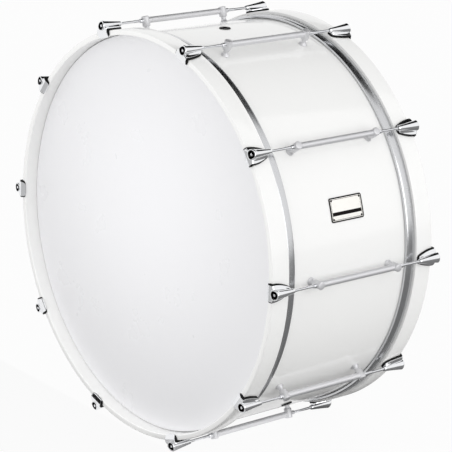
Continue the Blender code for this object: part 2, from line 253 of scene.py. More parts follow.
# %% [markdown]
# ### Gloss white plastic wrap
# The shell is maple ply under a sheet of white ABS wrap. It is smooth and glossy, but the glue leaves a
# very slow ripple about 30 mm long, which bends the reflections of the lugs. A second noise, in wider
# patches, varies the gloss a little, as handling does.

# %% White wrap
def slow_ripple(tree, shader, ripple_mm, height_mm, strength=1.0, detail=1.0):
    """Bump from a smooth noise, for surfaces that were sprayed, rolled or plated."""
    spot = node(tree, "ShaderNodeTexCoord")
    noise = node(tree, "ShaderNodeTexNoise", {"Scale": per_mm(ripple_mm), "Detail": detail},
                 {"Vector": (spot, "Object")})
    bump = node(tree, "ShaderNodeBump", {"Strength": strength, "Distance": height_mm / 1000},
                {"Height": (noise, "Fac")})
    tree.links.new(bump.outputs["Normal"], shader.inputs["Normal"])
    return spot


def vary_roughness(tree, shader, spot, size_mm, low, high):
    """Roughness that wanders between two values over patches of the given size."""
    noise = node(tree, "ShaderNodeTexNoise", {"Scale": per_mm(size_mm), "Detail": 4.0},
                 {"Vector": (spot, "Object")})
    spread = node(tree, "ShaderNodeMapRange", {"From Min": 0.3, "From Max": 0.7, "To Min": low,
                                              "To Max": high}, {"Value": (noise, "Fac")})
    tree.links.new(spread.outputs["Result"], shader.inputs["Roughness"])


def coated(name, colour, roughness, ripple, patches, strength=1.0, detail=1.0, **settings):
    """A finish with a ripple of (width, height) in mm, and a roughness that wanders between low and
    high over patches of some mm: (patch, low, high)."""
    finish, tree, shader = new_finish(name, colour, roughness, **settings)
    spot = slow_ripple(tree, shader, *ripple, strength, detail)
    vary_roughness(tree, shader, spot, *patches)
    return finish


white_wrap = coated("white_abs_drum_wrap", "#F5F5F4", 0.12, (30, 0.05), (60, 0.09, 0.15), ior=1.53)
print("made", white_wrap.name)

# %% [markdown]
# ### White lacquered hoops
# The counterhoops are bent maple under a thick coat of glossy polyester lacquer. Spray levels into a
# fine orange peel, a few millimetres across and a few microns deep.

# %% Hoop lacquer
hoop_lacquer = coated("white_lacquered_maple", "#F6F6F5", 0.16, (4, 0.006), (40, 0.12, 0.20), ior=1.52)
print("made", hoop_lacquer.name)

# %% [markdown]
# ### Smooth white drum head
# The head is two plies of polyester film with a smooth white coat. It is a touch cooler and much less
# glossy than the hoop. A faint mottle comes from the coat's thickness.

# %% Head film
head_film = coated("smooth_white_polyester_film", "#EDEDEF", 0.30, (1.2, 0.002), (90, 0.26, 0.34),
                   strength=0.5, detail=2.0, ior=1.57)
print("made", head_film.name)

# %% [markdown]
# ### Brushed aluminium flesh hoops
# The flesh hoops are rolled aluminium, polished along their length, so the fine lines run round the
# drum. Reading the noise from (distance from the axis, depth) instead of from X, Y and Z gives lines
# that follow the ring. Real polishing lines are 0.1 mm apart; these are 0.8 mm, to show at all.

# %% Aluminium
aluminium, tree, shader = new_finish("rolled_aluminium", "#D2D3D5", 0.24, metallic=1.0)
spot = node(tree, "ShaderNodeTexCoord")
centred = node(tree, "ShaderNodeMapping", {"Location": (0, 0, -axis_height)},
               {"Vector": (spot, "Object")})
parts = node(tree, "ShaderNodeSeparateXYZ", None, {"Vector": (centred, "Vector")})
flat = node(tree, "ShaderNodeCombineXYZ", {"Z": 0.0}, {"X": (parts, "X"), "Y": (parts, "Z")})
reach = node(tree, "ShaderNodeVectorMath", None, {0: (flat, "Vector")}, operation="LENGTH")
ring = node(tree, "ShaderNodeCombineXYZ", {"Z": 0.0}, {"X": (reach, "Value"), "Y": (parts, "Y")})
lines = node(tree, "ShaderNodeTexNoise", {"Scale": per_mm(0.8), "Detail": 2.0},
             {"Vector": (ring, "Vector")})
bump = node(tree, "ShaderNodeBump", {"Strength": 0.03, "Distance": 0.00005}, {"Height": (lines, "Fac")})
tree.links.new(bump.outputs["Normal"], shader.inputs["Normal"])
vary_roughness(tree, shader, spot, 50, 0.20, 0.30)
print("made", aluminium.name)

# %% [markdown]
# ### Satin lugs, chromed claws, and the small stuff
# Lugs are blasted and satin plated: metal with a broad soft highlight. Claws are bright chrome over
# zinc, and rods are chromed steel. The claws' liners are black rubber; the bushes in their mouths, the
# rods' washers and the vents are black nylon. These draw the dark outlines on the drum. In the claws'
# mouths the black bushes and washers are partly painted shade, for the shade deep in the counterbore.

# %% Metals and rubber
satin = coated("satin_plated_zinc", "#E3E3E5", 0.64, (1.0, 0.01), (25, 0.60, 0.68), strength=0.5,
               detail=3.0, metallic=1.0)
chrome = coated("bright_chrome_plate", "#F0F1F3", 0.07, (6, 0.02), (12, 0.05, 0.10), strength=0.5,
                metallic=1.0)
steel = coated("chromed_steel_rod", "#E6E7EA", 0.10, (3, 0.006), (10, 0.08, 0.14), strength=0.5,
               metallic=1.0)
rubber = coated("moulded_black_rubber", "#080808", 0.60, (0.8, 0.02), (8, 0.54, 0.68), detail=3.0,
                ior=1.52, Specular_IOR_Level=0.2)
nylon = coated("black_moulded_nylon", "#050505", 0.36, (2, 0.01), (10, 0.30, 0.42), ior=1.53,
               Specular_IOR_Level=0.04)
print("made", [m.name for m in (satin, chrome, steel, rubber, nylon)])

# %% [markdown]
# ### Maple ply and the badge
# Inside, the shell is bare maple: pale, with grain lines that run round the drum. The badge is a thin
# nickel silver plate with black enamel filled into its border and band. Its pins are blackened too.

# %% Maple, nickel silver and enamel
maple, tree, shader = new_finish("bare_maple_ply", "#D8B98C", 0.50, ior=1.5)
spot = node(tree, "ShaderNodeTexCoord")
stretched = node(tree, "ShaderNodeMapping", {"Scale": (1.0, 14.0, 1.0)}, {"Vector": (spot, "Object")})
grain = node(tree, "ShaderNodeTexNoise", {"Scale": per_mm(40), "Detail": 6.0, "Distortion": 0.6},
             {"Vector": (stretched, "Vector")})
tones = node(tree, "ShaderNodeValToRGB", None, {"Fac": (grain, "Fac")})
for stop, colour, position in zip(tones.color_ramp.elements, ("#C9A473", "#E4C99F"), (0.35, 0.70)):
    stop.color, stop.position = linear(colour), position
tree.links.new(tones.outputs["Color"], shader.inputs["Base Color"])

nickel = coated("nickel_silver_plate", "#F6F4EF", 0.30, (2, 0.004), (10, 0.26, 0.36), strength=0.5,
                metallic=1.0)
enamel = coated("black_filled_enamel", "#0E0807", 0.40, (1.5, 0.006), (8, 0.35, 0.46), ior=1.52,
                Specular_IOR_Level=0.08)
print("made", [m.name for m in (maple, nickel, enamel)])

# %% [markdown]
# ## The camera, the floor and the light
# A long lens from about four metres keeps the hoops nearly parallel. The turn, height and roll below
# put the front head at the left and the shell at the right.

# %% Camera
CAMERA_TURN, CAMERA_LIFT, CAMERA_ROLL = radians(50.41), radians(17.03), radians(-2.04)
CAMERA_OFFSET = Vector((7.5355, -5.6858, 2.9605)) * rod_circle
CAMERA_LENS = 168.14

forward = Vector((-sin(CAMERA_TURN) * cos(CAMERA_LIFT), cos(CAMERA_TURN) * cos(CAMERA_LIFT),
                  -sin(CAMERA_LIFT)))
level = forward.cross(Vector((0, 0, 1))).normalized()
sunk = forward.cross(level)
right = cos(CAMERA_ROLL) * level + sin(CAMERA_ROLL) * sunk
down = -sin(CAMERA_ROLL) * level + cos(CAMERA_ROLL) * sunk
camera_data = bpy.data.cameras.new("camera")
camera_data.sensor_width, camera_data.lens = 36.0, CAMERA_LENS
camera_data.clip_start, camera_data.clip_end = 0.1, 60.0
camera = add_object("camera", camera_data)
turned = Matrix((right, -down, -forward)).transposed().to_4x4()
camera.matrix_world = Matrix.Translation(Vector((0, -claw_face, axis_height)) + CAMERA_OFFSET) @ turned
bpy.context.scene.camera = camera
print("camera at", [round(v, 3) for v in camera.location], "lens", round(camera_data.lens, 1))

# %% [markdown]
# A white drum on white needs soft light from nearly everywhere, and something dark for the chrome to
# show. The sky is dimmer as a light than as a backdrop, and the floor glows for the camera, so both
# stay white. Black, grey and pale cloths are seen by reflections alone: that is how a studio keeps
# polished metal from washing out. A charcoal cloth before the drum is seen by diffuse light alone, so
# less light comes up to the head. A small lamp in front and a large one at the right do the rest.

# %% Floor, world and lamps
SKY_LIGHT, FLOOR_GLOW = 0.86, 0.945
scene = bpy.context.scene
scene.view_settings.view_transform = "Standard"


def seen_directly(tree):
    """A node that gives 1 to rays from the camera, a reflection or a clear part, and 0 to the rest."""
    rays = node(tree, "ShaderNodeLightPath")
    seen = node(tree, "ShaderNodeMath", None, {0: (rays, "Is Camera Ray"), 1: (rays, "Is Glossy Ray")},
                operation="MAXIMUM")
    return node(tree, "ShaderNodeMath", None, {0: (seen, "Value"), 1: (rays, "Is Transmission Ray")},
                operation="MAXIMUM")


world = bpy.data.worlds.new("studio")
scene.world = world
world.use_nodes = True
tree = world.node_tree
tree.nodes.clear()
seen = seen_directly(tree)
sky = node(tree, "ShaderNodeBackground", {"Color": (1, 1, 1, 1), "Strength": SKY_LIGHT})
backdrop = node(tree, "ShaderNodeBackground", {"Color": (1, 1, 1, 1), "Strength": 1.0})
either = node(tree, "ShaderNodeMixShader", None,
              {"Fac": (seen, "Value"), 1: (sky, "Background"), 2: (backdrop, "Background")})
node(tree, "ShaderNodeOutputWorld", None, {"Surface": (either, "Shader")})

floor_paint, tree, shader = new_finish("white_studio_floor", "#D3D3D3", 0.9)
glow = node(tree, "ShaderNodeEmission", {"Color": (1, 1, 1, 1), "Strength": 1.0})
share = node(tree, "ShaderNodeMath", {1: FLOOR_GLOW}, {0: (seen_directly(tree), "Value")},
             operation="MULTIPLY")
either = node(tree, "ShaderNodeMixShader", None,
              {"Fac": (share, "Value"), 1: (shader, "BSDF"), 2: (glow, "Emission")})
tree.links.new(either.outputs["Shader"], tree.nodes["Material Output"].inputs["Surface"])


def stage_card(name, size, place, surface):
    """A flat square that belongs to the studio, not to the drum."""
    shape = bmesh.new()
    bmesh.ops.create_grid(shape, x_segments=1, y_segments=1, size=size / 2)
    shape.transform(place)
    card = to_object(name, shape, surface)
    return card


stage_card("studio_floor", 40.0, Matrix.Translation((0, 0, -0.0005)), floor_paint)

black, dark, pale, charcoal = [
    new_finish(f"{shade}_studio_cloth", colour, 0.95)[0] for shade, colour in
    (("black", "#050505"), ("dark_grey", "#7C7C7C"), ("pale_grey", "#C8C8C8"), ("charcoal", "#303030"))]


def seen_only_by(item, *kinds):
    """Hides an object from every kind of ray but those named."""
    for kind in ("camera", "diffuse", "glossy", "transmission", "volume_scatter", "shadow"):
        setattr(item, "visible_" + kind, kind in kinds)


at, upright = Matrix.Translation, Matrix.Rotation(pi / 2, 4, "X")
turned_floor = Matrix.Rotation(atan2(-0.64, -0.77), 4, "Z")
cards = [("overhead_card", at((-0.8, 0.45, 3.2)), (3.6, 5.7), black, "glossy"),
         ("front_strip_card", at((-2.2, -4.6, 0.9)) @ upright, (4.6, 0.9), black, "glossy"),
         ("right_floor_card", turned_floor @ at((2.0, 4.2, 0.0006)), (4.4, 8.0), pale, "glossy"),
         ("back_floor_card", turned_floor @ at((-4.2, 0.0, 0.0006)), (8.0, 16.0), dark, "glossy"),
         ("floor_flag", at((-0.06, -0.79, 0.0004)), (1.3, 1.16), charcoal, "diffuse")]
for name, place, sides, surface, kind in cards:
    seen_only_by(stage_card(name, 1.0, place @ Matrix.Diagonal((*sides, 1, 1)), surface), kind)


def soft_lamp(name, spot, aim, size, power):
    """A square area lamp at one point, facing another."""
    lamp = bpy.data.lights.new(name, "AREA")
    lamp.size, lamp.energy = size, power
    item = add_object(name, lamp)
    item.location = spot
    item.rotation_euler = (Vector(aim) - Vector(spot)).to_track_quat("-Z", "Y").to_euler()
    return item


front_lamp = soft_lamp("front_lamp", (0.0, -0.92, 0.46), (0.0, 0, 0.46), 0.4, 3.0)
front_lamp.visible_camera = front_lamp.visible_glossy = False
soft_lamp("right_lamp", (3.5, 0.3, 1.3), (0, 0, axis_height), 2.2, 31.5)

# %% [markdown]
# ## The shell
# A real shell is thin veneers glued in a round mould, then turned true at both edges. The edge where
# the head sits is cut at 45 degrees inside and eased outside. A Solidify modifier would give the wall
# but not that edge, so the whole section is drawn once and spun. Two air vents are then drilled with a
# Boolean, which is worked out here so that the mesh is final.

# %% Shell
RING_STEPS = 360
SHELL_WALL = 0.0080
EDGE_ROUND = 0.0015
VENT_RADIUS = 0.0065


def quarter(centre, radius, start, end, steps=4):
    """Points on an arc, in degrees, as (radius, height) pairs round a centre."""
    return [(centre[0] + radius * cos(radians(start + (end - start) * i / steps)),
             centre[1] + radius * sin(radians(start + (end - start) * i / steps)))
            for i in range(steps + 1)]


def drilled(piece, places, radius, reach):
    """Cuts round holes through a piece, each along local Z of its place."""
    drills = bmesh.new()
    for place in places:
        bmesh.ops.create_cone(drills, cap_ends=True, segments=48, radius1=radius, radius2=radius,
                              depth=reach, matrix=place)
    cutter = to_object("drills", drills)
    cut = piece.modifiers.new("drill", "BOOLEAN")
    cut.operation, cut.solver, cut.object = "DIFFERENCE", "EXACT", cutter
    graph = bpy.context.evaluated_depsgraph_get()
    result = bpy.data.meshes.new_from_object(piece.evaluated_get(graph))
    piece.modifiers.clear()
    piece.data = result
    bpy.data.objects.remove(cutter)


shell_inside = shell_radius - SHELL_WALL
vent_spread = 3 * VENT_RADIUS
half = [(shell_radius, vent_spread)]
half += quarter((shell_radius - EDGE_ROUND, half_depth - EDGE_ROUND), EDGE_ROUND, 0, 90)
half += [(shell_inside, half_depth - SHELL_WALL + EDGE_ROUND), (shell_inside, vent_spread)]
shape = lathe(half + [(radius, -height) for radius, height in reversed(half)], RING_STEPS)
for face in shape.faces:
    centre = face.calc_center_median()
    wrapped = hypot(centre.x, centre.z) > shell_radius - EDGE_ROUND / 2
    face.material_index = 0 if wrapped else 1
shell = finish_piece("shell_wrapped", shape, white_wrap, drum_axis("front"), "shell_body",
                     replaces=["shell"], crease=30, extra=(maple,))


def wall_place(node_name):
    """Station on the shell's wall under a part: local Z outward, local X down the right side."""
    low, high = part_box(node_name)
    centre = (low + high) / 2
    return station(atan2(centre.z - axis_height, centre.x), shell_radius, centre.y)


vents = [wall_place(f"vent_grommet_{number:02d}") for number in (1, 2)]
drilled(shell, vents, VENT_RADIUS, 4 * SHELL_WALL)
print("shell faces:", len(shell.data.polygons))

# %% [markdown]
# ## Vent grommets
# Air has to leave the drum when the head is struck, so the shell has small holes lined with a moulded
# eyelet. It is turned about local Z: a flange, a sleeve, and a bore right through.

# %% Vent grommets
GROMMET_FLANGE = 0.0117
GROMMET_SLEEVE = 0.0062
GROMMET_BORE = 0.0050
GROMMET_RISE = 0.0019
FLANGE_EASE, MOUTH_EASE = 0.0011, 0.0007
SEAT_GAP = 0.0003

for number, place in enumerate(vents, start=1):
    shape = lathe([(GROMMET_FLANGE, SEAT_GAP), (GROMMET_SLEEVE, SEAT_GAP),
                   (GROMMET_SLEEVE, -SHELL_WALL), (GROMMET_BORE, -SHELL_WALL),
                   (GROMMET_BORE, GROMMET_RISE), (GROMMET_FLANGE, GROMMET_RISE)], 64, axis="Z")
    ease(shape, rings_at(shape, [(GROMMET_FLANGE, GROMMET_RISE)], "Z"), FLANGE_EASE, 4)
    ease(shape, rings_at(shape, [(GROMMET_BORE, GROMMET_RISE)], "Z"), MOUTH_EASE)
    finish_piece(f"air_vent_{number:02d}", shape, nylon, place, "shell_body",
                 replaces=[f"vent_grommet_{number:02d}"])
print("grommet faces:", made["air_vent_01"])

# %% [markdown]
# ## The badge
# A maker's plate is etched sheet metal, filled with enamel and bent to the shell. Here it has only a
# border, a fine inner line and a band. One face is enough to start from: its corners are bevelled,
# borders come from inset, the band from plane cuts, and each enamel area is sunk a tenth of a
# millimetre. Only then is the plate bent.

# %% Badge
BADGE_ALONG, BADGE_ROUND, BADGE_THICK = 0.0830, 0.0480, 0.0009
BADGE_CORNER = 0.0040
BORDER, INNER_LINE = 0.0027, 0.0008
LINE_INSET = 0.0011
BAND_CENTRE, BAND_HEIGHT, BAND_INSET = 0.0082, 0.0070, 0.0048
PIN_INSET, PIN_RADIUS, PIN_RISE = 0.0056, 0.0023, 0.0005
ETCH, BADGE_SLICES = 0.00012, 16


def bent_to_shell(shape):
    """Wraps a flat shape round the shell: local X becomes distance round the wall."""
    for vert in shape.verts:
        turn, radius = vert.co.x / shell_radius, shell_radius + vert.co.z
        vert.co.x, vert.co.z = radius * sin(turn), radius * cos(turn) - shell_radius


shape = bmesh.new()
bmesh.ops.create_grid(shape, x_segments=1, y_segments=1, size=0.5)
bmesh.ops.scale(shape, vec=(BADGE_ROUND, BADGE_ALONG, 1), verts=shape.verts)
bmesh.ops.bevel(shape, geom=shape.verts[:], offset=BADGE_CORNER, segments=6, affect="VERTICES",
                profile=0.5, material=-1)
field = shape.faces[:]
for width, enamelled in ((BORDER, True), (LINE_INSET, False), (INNER_LINE, True)):
    rim = bmesh.ops.inset_region(shape, faces=field, thickness=width, use_boundary=True,
                                 use_even_offset=True)["faces"]
    for face in rim:
        face.material_index = int(enamelled)
band_low, band_high = BAND_CENTRE - BAND_HEIGHT / 2, BAND_CENTRE + BAND_HEIGHT / 2
band_end = BADGE_ALONG / 2 - BAND_INSET
cuts = [((x, 0, 0), (1, 0, 0)) for x in (band_low, band_high)]
cuts += [((0, y, 0), (0, 1, 0)) for y in (-band_end, band_end)]
cuts += [((BADGE_ROUND * (i / BADGE_SLICES - 0.5), 0, 0), (1, 0, 0)) for i in range(1, BADGE_SLICES)]
for spot, normal in cuts:
    bmesh.ops.bisect_plane(shape, geom=shape.verts[:] + shape.edges[:] + shape.faces[:],
                           plane_co=spot, plane_no=normal, dist=1e-6)
for face in shape.faces:
    centre = face.calc_center_median()
    if band_low < centre.x < band_high and abs(centre.y) < band_end:
        face.material_index = 1
top = shape.faces[:]
grown = bmesh.ops.extrude_face_region(shape, geom=top, use_keep_orig=True)["geom"]
raised = [item for item in grown if isinstance(item, bmesh.types.BMVert)]
bmesh.ops.translate(shape, verts=raised, vec=(0, 0, BADGE_THICK))
bmesh.ops.recalc_face_normals(shape, faces=shape.faces)
inked = [face for face in shape.faces if face.material_index == 1 and face.normal.z > 0.9]
bmesh.ops.inset_region(shape, faces=inked, thickness=ETCH, depth=-ETCH, use_even_offset=True)
bmesh.ops.translate(shape, verts=shape.verts, vec=(0, 0, SEAT_GAP))
bent_to_shell(shape)
badge_place = wall_place("badge_plate")
finish_piece("badge_plate_etched", shape, nickel, badge_place, "shell_body",
             replaces=["badge_plate"], crease=25, extra=(enamel,))

pin_across, pin_along = BADGE_ROUND / 2 - PIN_INSET, BADGE_ALONG / 2 - PIN_INSET
for number, (side, turn) in enumerate([(1, 1), (1, -1), (-1, 1), (-1, -1)], start=1):
    shape = lathe([(0, 0), (PIN_RADIUS, 0), (PIN_RADIUS, PIN_RISE * 0.4),
                   (PIN_RADIUS * 0.7, PIN_RISE * 0.85), (0, PIN_RISE)], 24, axis="Z", closed=False)
    shape.transform(Matrix.Translation((turn * pin_across, side * pin_along, SEAT_GAP + BADGE_THICK)))
    bent_to_shell(shape)
    finish_piece(f"badge_pin_{number:02d}", shape, enamel, badge_place, "shell_body",
                 replaces=["badge_plate"])
print("badge faces:", made["badge_plate_etched"])

# %% [markdown]
# ## The tube lugs
# Each lug is a half inch tube carried by two turned posts. A post is like a chess piece: a flared foot
# on the shell, a waist, a shoulder and a straight head with a softly domed top. A threaded insert for
# the rod shows as a short nose at either end of the tube.

# %% Lugs
TUBE_RADIUS, ROD_HOLE = 0.00635, 0.0034
POST_RADIUS, POST_NECK, POST_SKIRT = 0.0080, 0.0050, 0.0123
NOSE_RADIUS, NOSE_LENGTH, NOSE_EASE = 0.0046, 0.0070, 0.0007
FOOT_RIM, FLARE_DROP, FLARE_CURVE, FLARE_ROWS = 0.0011, 0.0040, 2.1, 8
NECK_FILLET, FILLET_DROP, SHOULDER_EASE = 0.0012, 0.0016, 0.0010
CROWN_ROUND, CROWN_DROP = 0.0014, 0.0020
post_along = tube_end - NOSE_LENGTH - POST_RADIUS


def post_profile():
    """From the middle of the foot up to the middle of the crown, as (radius, height) pairs."""
    foot, crown = -foot_reach, crown_reach
    outline = [(0, foot), (foot_radius - 0.0003, foot), (foot_radius, foot + 0.0004),
               (foot_radius - 0.0001, foot + 0.0009)]
    flare_top = -POST_SKIRT - FLARE_DROP
    for i in range(1, FLARE_ROWS + 1):
        share = i / FLARE_ROWS
        radius = POST_NECK + (foot_radius - 0.0004 - POST_NECK) * (1 - share) ** FLARE_CURVE
        outline.append((radius, foot + FOOT_RIM + (flare_top - foot - FOOT_RIM) * share))
    neck_top = -POST_SKIRT - FILLET_DROP
    outline += [(POST_NECK, neck_top)]
    outline += quarter((POST_NECK + NECK_FILLET, neck_top), NECK_FILLET, 180, 100, 3)[1:]
    outline += [(POST_RADIUS - SHOULDER_EASE, -POST_SKIRT), (POST_RADIUS, -POST_SKIRT + SHOULDER_EASE)]
    outline += quarter((POST_RADIUS - CROWN_ROUND, crown - CROWN_DROP), CROWN_ROUND, 0, 70, 4)
    outline += [(POST_RADIUS * 0.55, crown - 0.00022), (0, crown)]
    return outline


for number in range(1, LUG_COUNT + 1):
    place = station(lug_angle(number), rod_circle)
    pieces = [("tube", tube(TUBE_RADIUS, ROD_HOLE, -post_along, post_along, 64), satin, 40)]
    for end, side in (("front", -1), ("rear", 1)):
        post = lathe(post_profile(), 64, axis="Z", closed=False)
        post.transform(Matrix.Translation((0, side * post_along, 0)))
        nose = tube(NOSE_RADIUS, ROD_HOLE, side * (post_along + POST_RADIUS / 2), side * tube_end, 48)
        ease(nose, rings_at(nose, [(NOSE_RADIUS, side * tube_end)]), NOSE_EASE)
        pieces += [(f"post_{end}", post, satin, 50), (f"insert_{end}", nose, steel, 40)]
    for part, shape, finish, crease in pieces:
        finish_piece(f"lug_{part}_{number:02d}", shape, finish, place, "shell_body",
                     replaces=[f"lug_{number:02d}"], crease=crease)
print("faces in a post:", made["lug_post_front_01"])

# %% [markdown]
# ## Heads and flesh hoops
# A head is a film drawn over the bearing edge and down the wall, where an aluminium channel, the flesh
# hoop, grips its hem. The film follows the shell's eased edge with a small gap, then flares into the
# channel. The channel is rolled strip: its corners are round, and a shallow groove runs round its face.

# %% Heads and flesh hoops
FILM, FILM_RISE = 0.0005, 0.0040
FLESH_WALL, FLESH_THICKNESS = 0.0018, 0.0056


def film_side(offset):
    """One side of the film, from the middle of the head out to its hem."""
    edge = quarter((shell_radius - EDGE_ROUND, half_depth - EDGE_ROUND), EDGE_ROUND + offset, 90, 0)
    step = flesh_front + SEAT_GAP
    flared = shell_radius + offset + FILM_RISE - SEAT_GAP
    hem = flesh_back + FLESH_WALL + SEAT_GAP
    flat = [(shell_radius * share, half_depth + offset) for share in (0.0, 0.25, 0.5, 0.75, 0.95)]
    return flat + edge + [(shell_radius + offset, step), (flared, step - FILM_RISE), (flared, hem)]


flesh_inside = flesh_outside - FLESH_THICKNESS
slot_outside = flesh_outside - FLESH_WALL
slot_inside = shell_radius + FILM_RISE - SEAT_GAP
lip = flesh_front - FILM_RISE - 2 * SEAT_GAP
face_shape = [(0.0, 0.0012), (0.0004, 0.0004), (0.0012, 0.0), (0.0070, 0.0), (0.0076, 0.0005),
              (0.0092, 0.0005), (0.0098, 0.0), (0.0168, 0.0), (0.0185, 0.0004), (0.0197, 0.0013),
              (0.0203, 0.0026)]
channel = [(flesh_outside - depth, flesh_front - along) for along, depth in face_shape]
slot_floor = flesh_back + FLESH_WALL
channel += [(flesh_inside, flesh_back), (flesh_inside, lip), (slot_inside, lip),
            (slot_inside, slot_floor), (slot_outside, slot_floor), (slot_outside, flesh_front)]

for end in ("front", "rear"):
    body = f"{end}_hoop_set"
    film = film_side(SEAT_GAP + FILM) + film_side(SEAT_GAP)[::-1]
    shape = lathe([(radius, -height) for radius, height in film], RING_STEPS, closed=False)
    finish_piece(f"drum_head_{end}", shape, head_film, drum_axis(end), body,
                 replaces=[f"head_{end}"], crease=35)
    shape = lathe([(radius, -height) for radius, height in channel], RING_STEPS)
    finish_piece(f"flesh_ring_{end}", shape, aluminium, drum_axis(end), body,
                 replaces=[f"flesh_hoop_{end}"], crease=28)
print("head faces:", made["drum_head_front"], "ring faces:", made["flesh_ring_front"])

# %% [markdown]
# ## Counterhoops
# A counterhoop is a maple strip, steamed and bent to a ring, then sprayed. Its front corners are
# rounded by hand before the lacquer, and the back ones only broken.

# %% Counterhoops
HOOP_THICKNESS = 0.0113
HOOP_EASE, HOOP_BREAK = 0.0022, 0.0006
hoop_inside = hoop_outside - HOOP_THICKNESS

for end in ("front", "rear"):
    shape = lathe([(hoop_outside, -hoop_back), (hoop_inside, -hoop_back), (hoop_inside, -hoop_front),
                   (hoop_outside, -hoop_front)], RING_STEPS)
    for height, offset, segments in ((-hoop_front, HOOP_EASE, 5), (-hoop_back, HOOP_BREAK, 2)):
        ease(shape, rings_at(shape, [(hoop_inside, height), (hoop_outside, height)]), offset, segments)
    finish_piece(f"hoop_lacquered_{end}", shape, hoop_lacquer, drum_axis(end), f"{end}_hoop_set",
                 replaces=[f"counterhoop_{end}"], crease=30)
print("hoop faces:", made["hoop_lacquered_front"])

# %% [markdown]
# ## Claw hooks
# A claw is a die casting: a barrel for the rod, a saddle that lies on the hoop and narrows to a tail,
# and a hook that turns down over the hoop's front and back under it. The hook's face leans forward to a
# ridge, then back to the lip. A black rubber liner fits inside and stands proud all round, so from the
# side it draws the dark J that one sees first.
#
# Casting and liner are both slabs along the same J. It is walked once from the side, in straight runs
# and bends, noting at each row where the skin is and which way is inward. The work is in millimetres.

# %% The J from the side
TAIL_HALF, TAIL_END = 8.0, 46.3
WING_TOP, SEAT = -6.4, -11.3
RIDGE = (0.3, -15.0)
LEAN_OUT, LEAN_IN, LIP_TURN = radians(8), radians(22), radians(72)
CORNER_RADIUS, RIDGE_RADIUS, LIP_RADIUS = 2.6, 1.8, 4.0
LIP_START = -23.2
CASTING, SKIN_GAP = 1.5, 0.05
NOTCH_FACE, NOTCH_FLOOR, NOTCH_ROUND, NOTCH_BEND, NOTCH_ROWS = 6.2, -23.2, 1.5, 0.8, 4
claw_half = 500 * claw_width
barrel_length = 1000 * claw_length


def straight(start, end, count):
    """Rows (along, height, turn) on a straight run, without its last point. The turn is 0 on the
    saddle and a right angle on a face that looks straight ahead."""
    turn = atan2(start[1] - end[1], start[0] - end[0])
    return [(start[0] + (end[0] - start[0]) * i / count, start[1] + (end[1] - start[1]) * i / count,
             turn) for i in range(count)]


def bend(centre, radius, first, last, count):
    """Rows on an arc, without its last point."""
    turns = [first + (last - first) * i / count for i in range(count)]
    return [(centre[0] - radius * sin(turn), centre[1] + radius * cos(turn), turn) for turn in turns]


def skin_under(row, depth):
    """(along, height) at some depth under a row of the skin."""
    return row[0] + depth * sin(row[2]), row[1] - depth * cos(row[2])


face_turn, under_turn, end_turn = pi / 2 - LEAN_OUT, pi / 2 + LEAN_IN, pi / 2 + LIP_TURN
face_top = RIDGE[0] + (WING_TOP - RIDGE[1]) * tan(LEAN_OUT)
corner_run = CORNER_RADIUS * tan(face_turn / 2)
corner_centre = (face_top + corner_run, WING_TOP - CORNER_RADIUS)
ridge_run = RIDGE_RADIUS * tan((under_turn - face_turn) / 2)
ridge_start = (RIDGE[0] + ridge_run * sin(LEAN_OUT), RIDGE[1] + ridge_run * cos(LEAN_OUT))
ridge_centre = skin_under((*ridge_start, face_turn), RIDGE_RADIUS)
ridge_end = (RIDGE[0] + ridge_run * sin(LEAN_IN), RIDGE[1] - ridge_run * cos(LEAN_IN))
lip_start = (RIDGE[0] + (RIDGE[1] - LIP_START) * tan(LEAN_IN), LIP_START)
lip_centre = skin_under((*lip_start, under_turn), LIP_RADIUS)
corner_rows = bend(corner_centre, CORNER_RADIUS, 0, face_turn, 6)
corner_end = bend(corner_centre, CORNER_RADIUS, face_turn, face_turn, 1)[0]

saddle_rows = straight((TAIL_END, WING_TOP), (corner_centre[0], WING_TOP), 14)
hook_rows = straight(corner_end[:2], ridge_start, 3)
hook_rows += bend(ridge_centre, RIDGE_RADIUS, face_turn, under_turn, 3)
hook_rows += straight(ridge_end, lip_start, 4)
hook_rows += bend(lip_centre, LIP_RADIUS, under_turn, end_turn, 6)
hook_rows += bend(lip_centre, LIP_RADIUS, end_turn, end_turn, 1)
J_ROWS = saddle_rows + corner_rows + hook_rows
CORNER_AT, HOOK_AT = len(saddle_rows), len(saddle_rows) + len(corner_rows)
LAST_ROW = len(J_ROWS) - 1


def notch_point(index):
    """(along, height) on the liner's inside at a row: it fits the hoop."""
    middle = NOTCH_FACE + NOTCH_ROUND
    if index < CORNER_AT:
        return J_ROWS[index][0] + (middle - corner_centre[0]) * index / CORNER_AT, SEAT
    if index < HOOK_AT:
        turn = (index - CORNER_AT) / len(corner_rows) * pi / 2
        return middle - NOTCH_ROUND * sin(turn), SEAT - NOTCH_ROUND * (1 - cos(turn))
    low, first_bend = NOTCH_FLOOR + NOTCH_BEND, LAST_ROW - NOTCH_ROWS
    if index < first_bend:
        share = (index - HOOK_AT) / (first_bend - HOOK_AT)
        return NOTCH_FACE, SEAT - NOTCH_ROUND + (low - SEAT + NOTCH_ROUND) * share
    turn = (index - first_bend) / NOTCH_ROWS * pi / 2
    return NOTCH_FACE + NOTCH_BEND * (1 - cos(turn)), low - NOTCH_BEND * sin(turn)


print("rows on the J:", len(J_ROWS), "lip in mm:", [round(value, 1) for value in J_ROWS[-1][:2]])

# %% [markdown]
# In plan the saddle narrows like a shield, and so does the hook towards its lip. The casting's wings
# rise in a hollow sweep to the barrel, but close to the face they are filled out, so the face is one
# broad shield. They keep clear of the counterbore. A grid is laid flat, its rows are carried to their
# places along the J, a second grid does the inner face, and bridging their borders closes the slab.

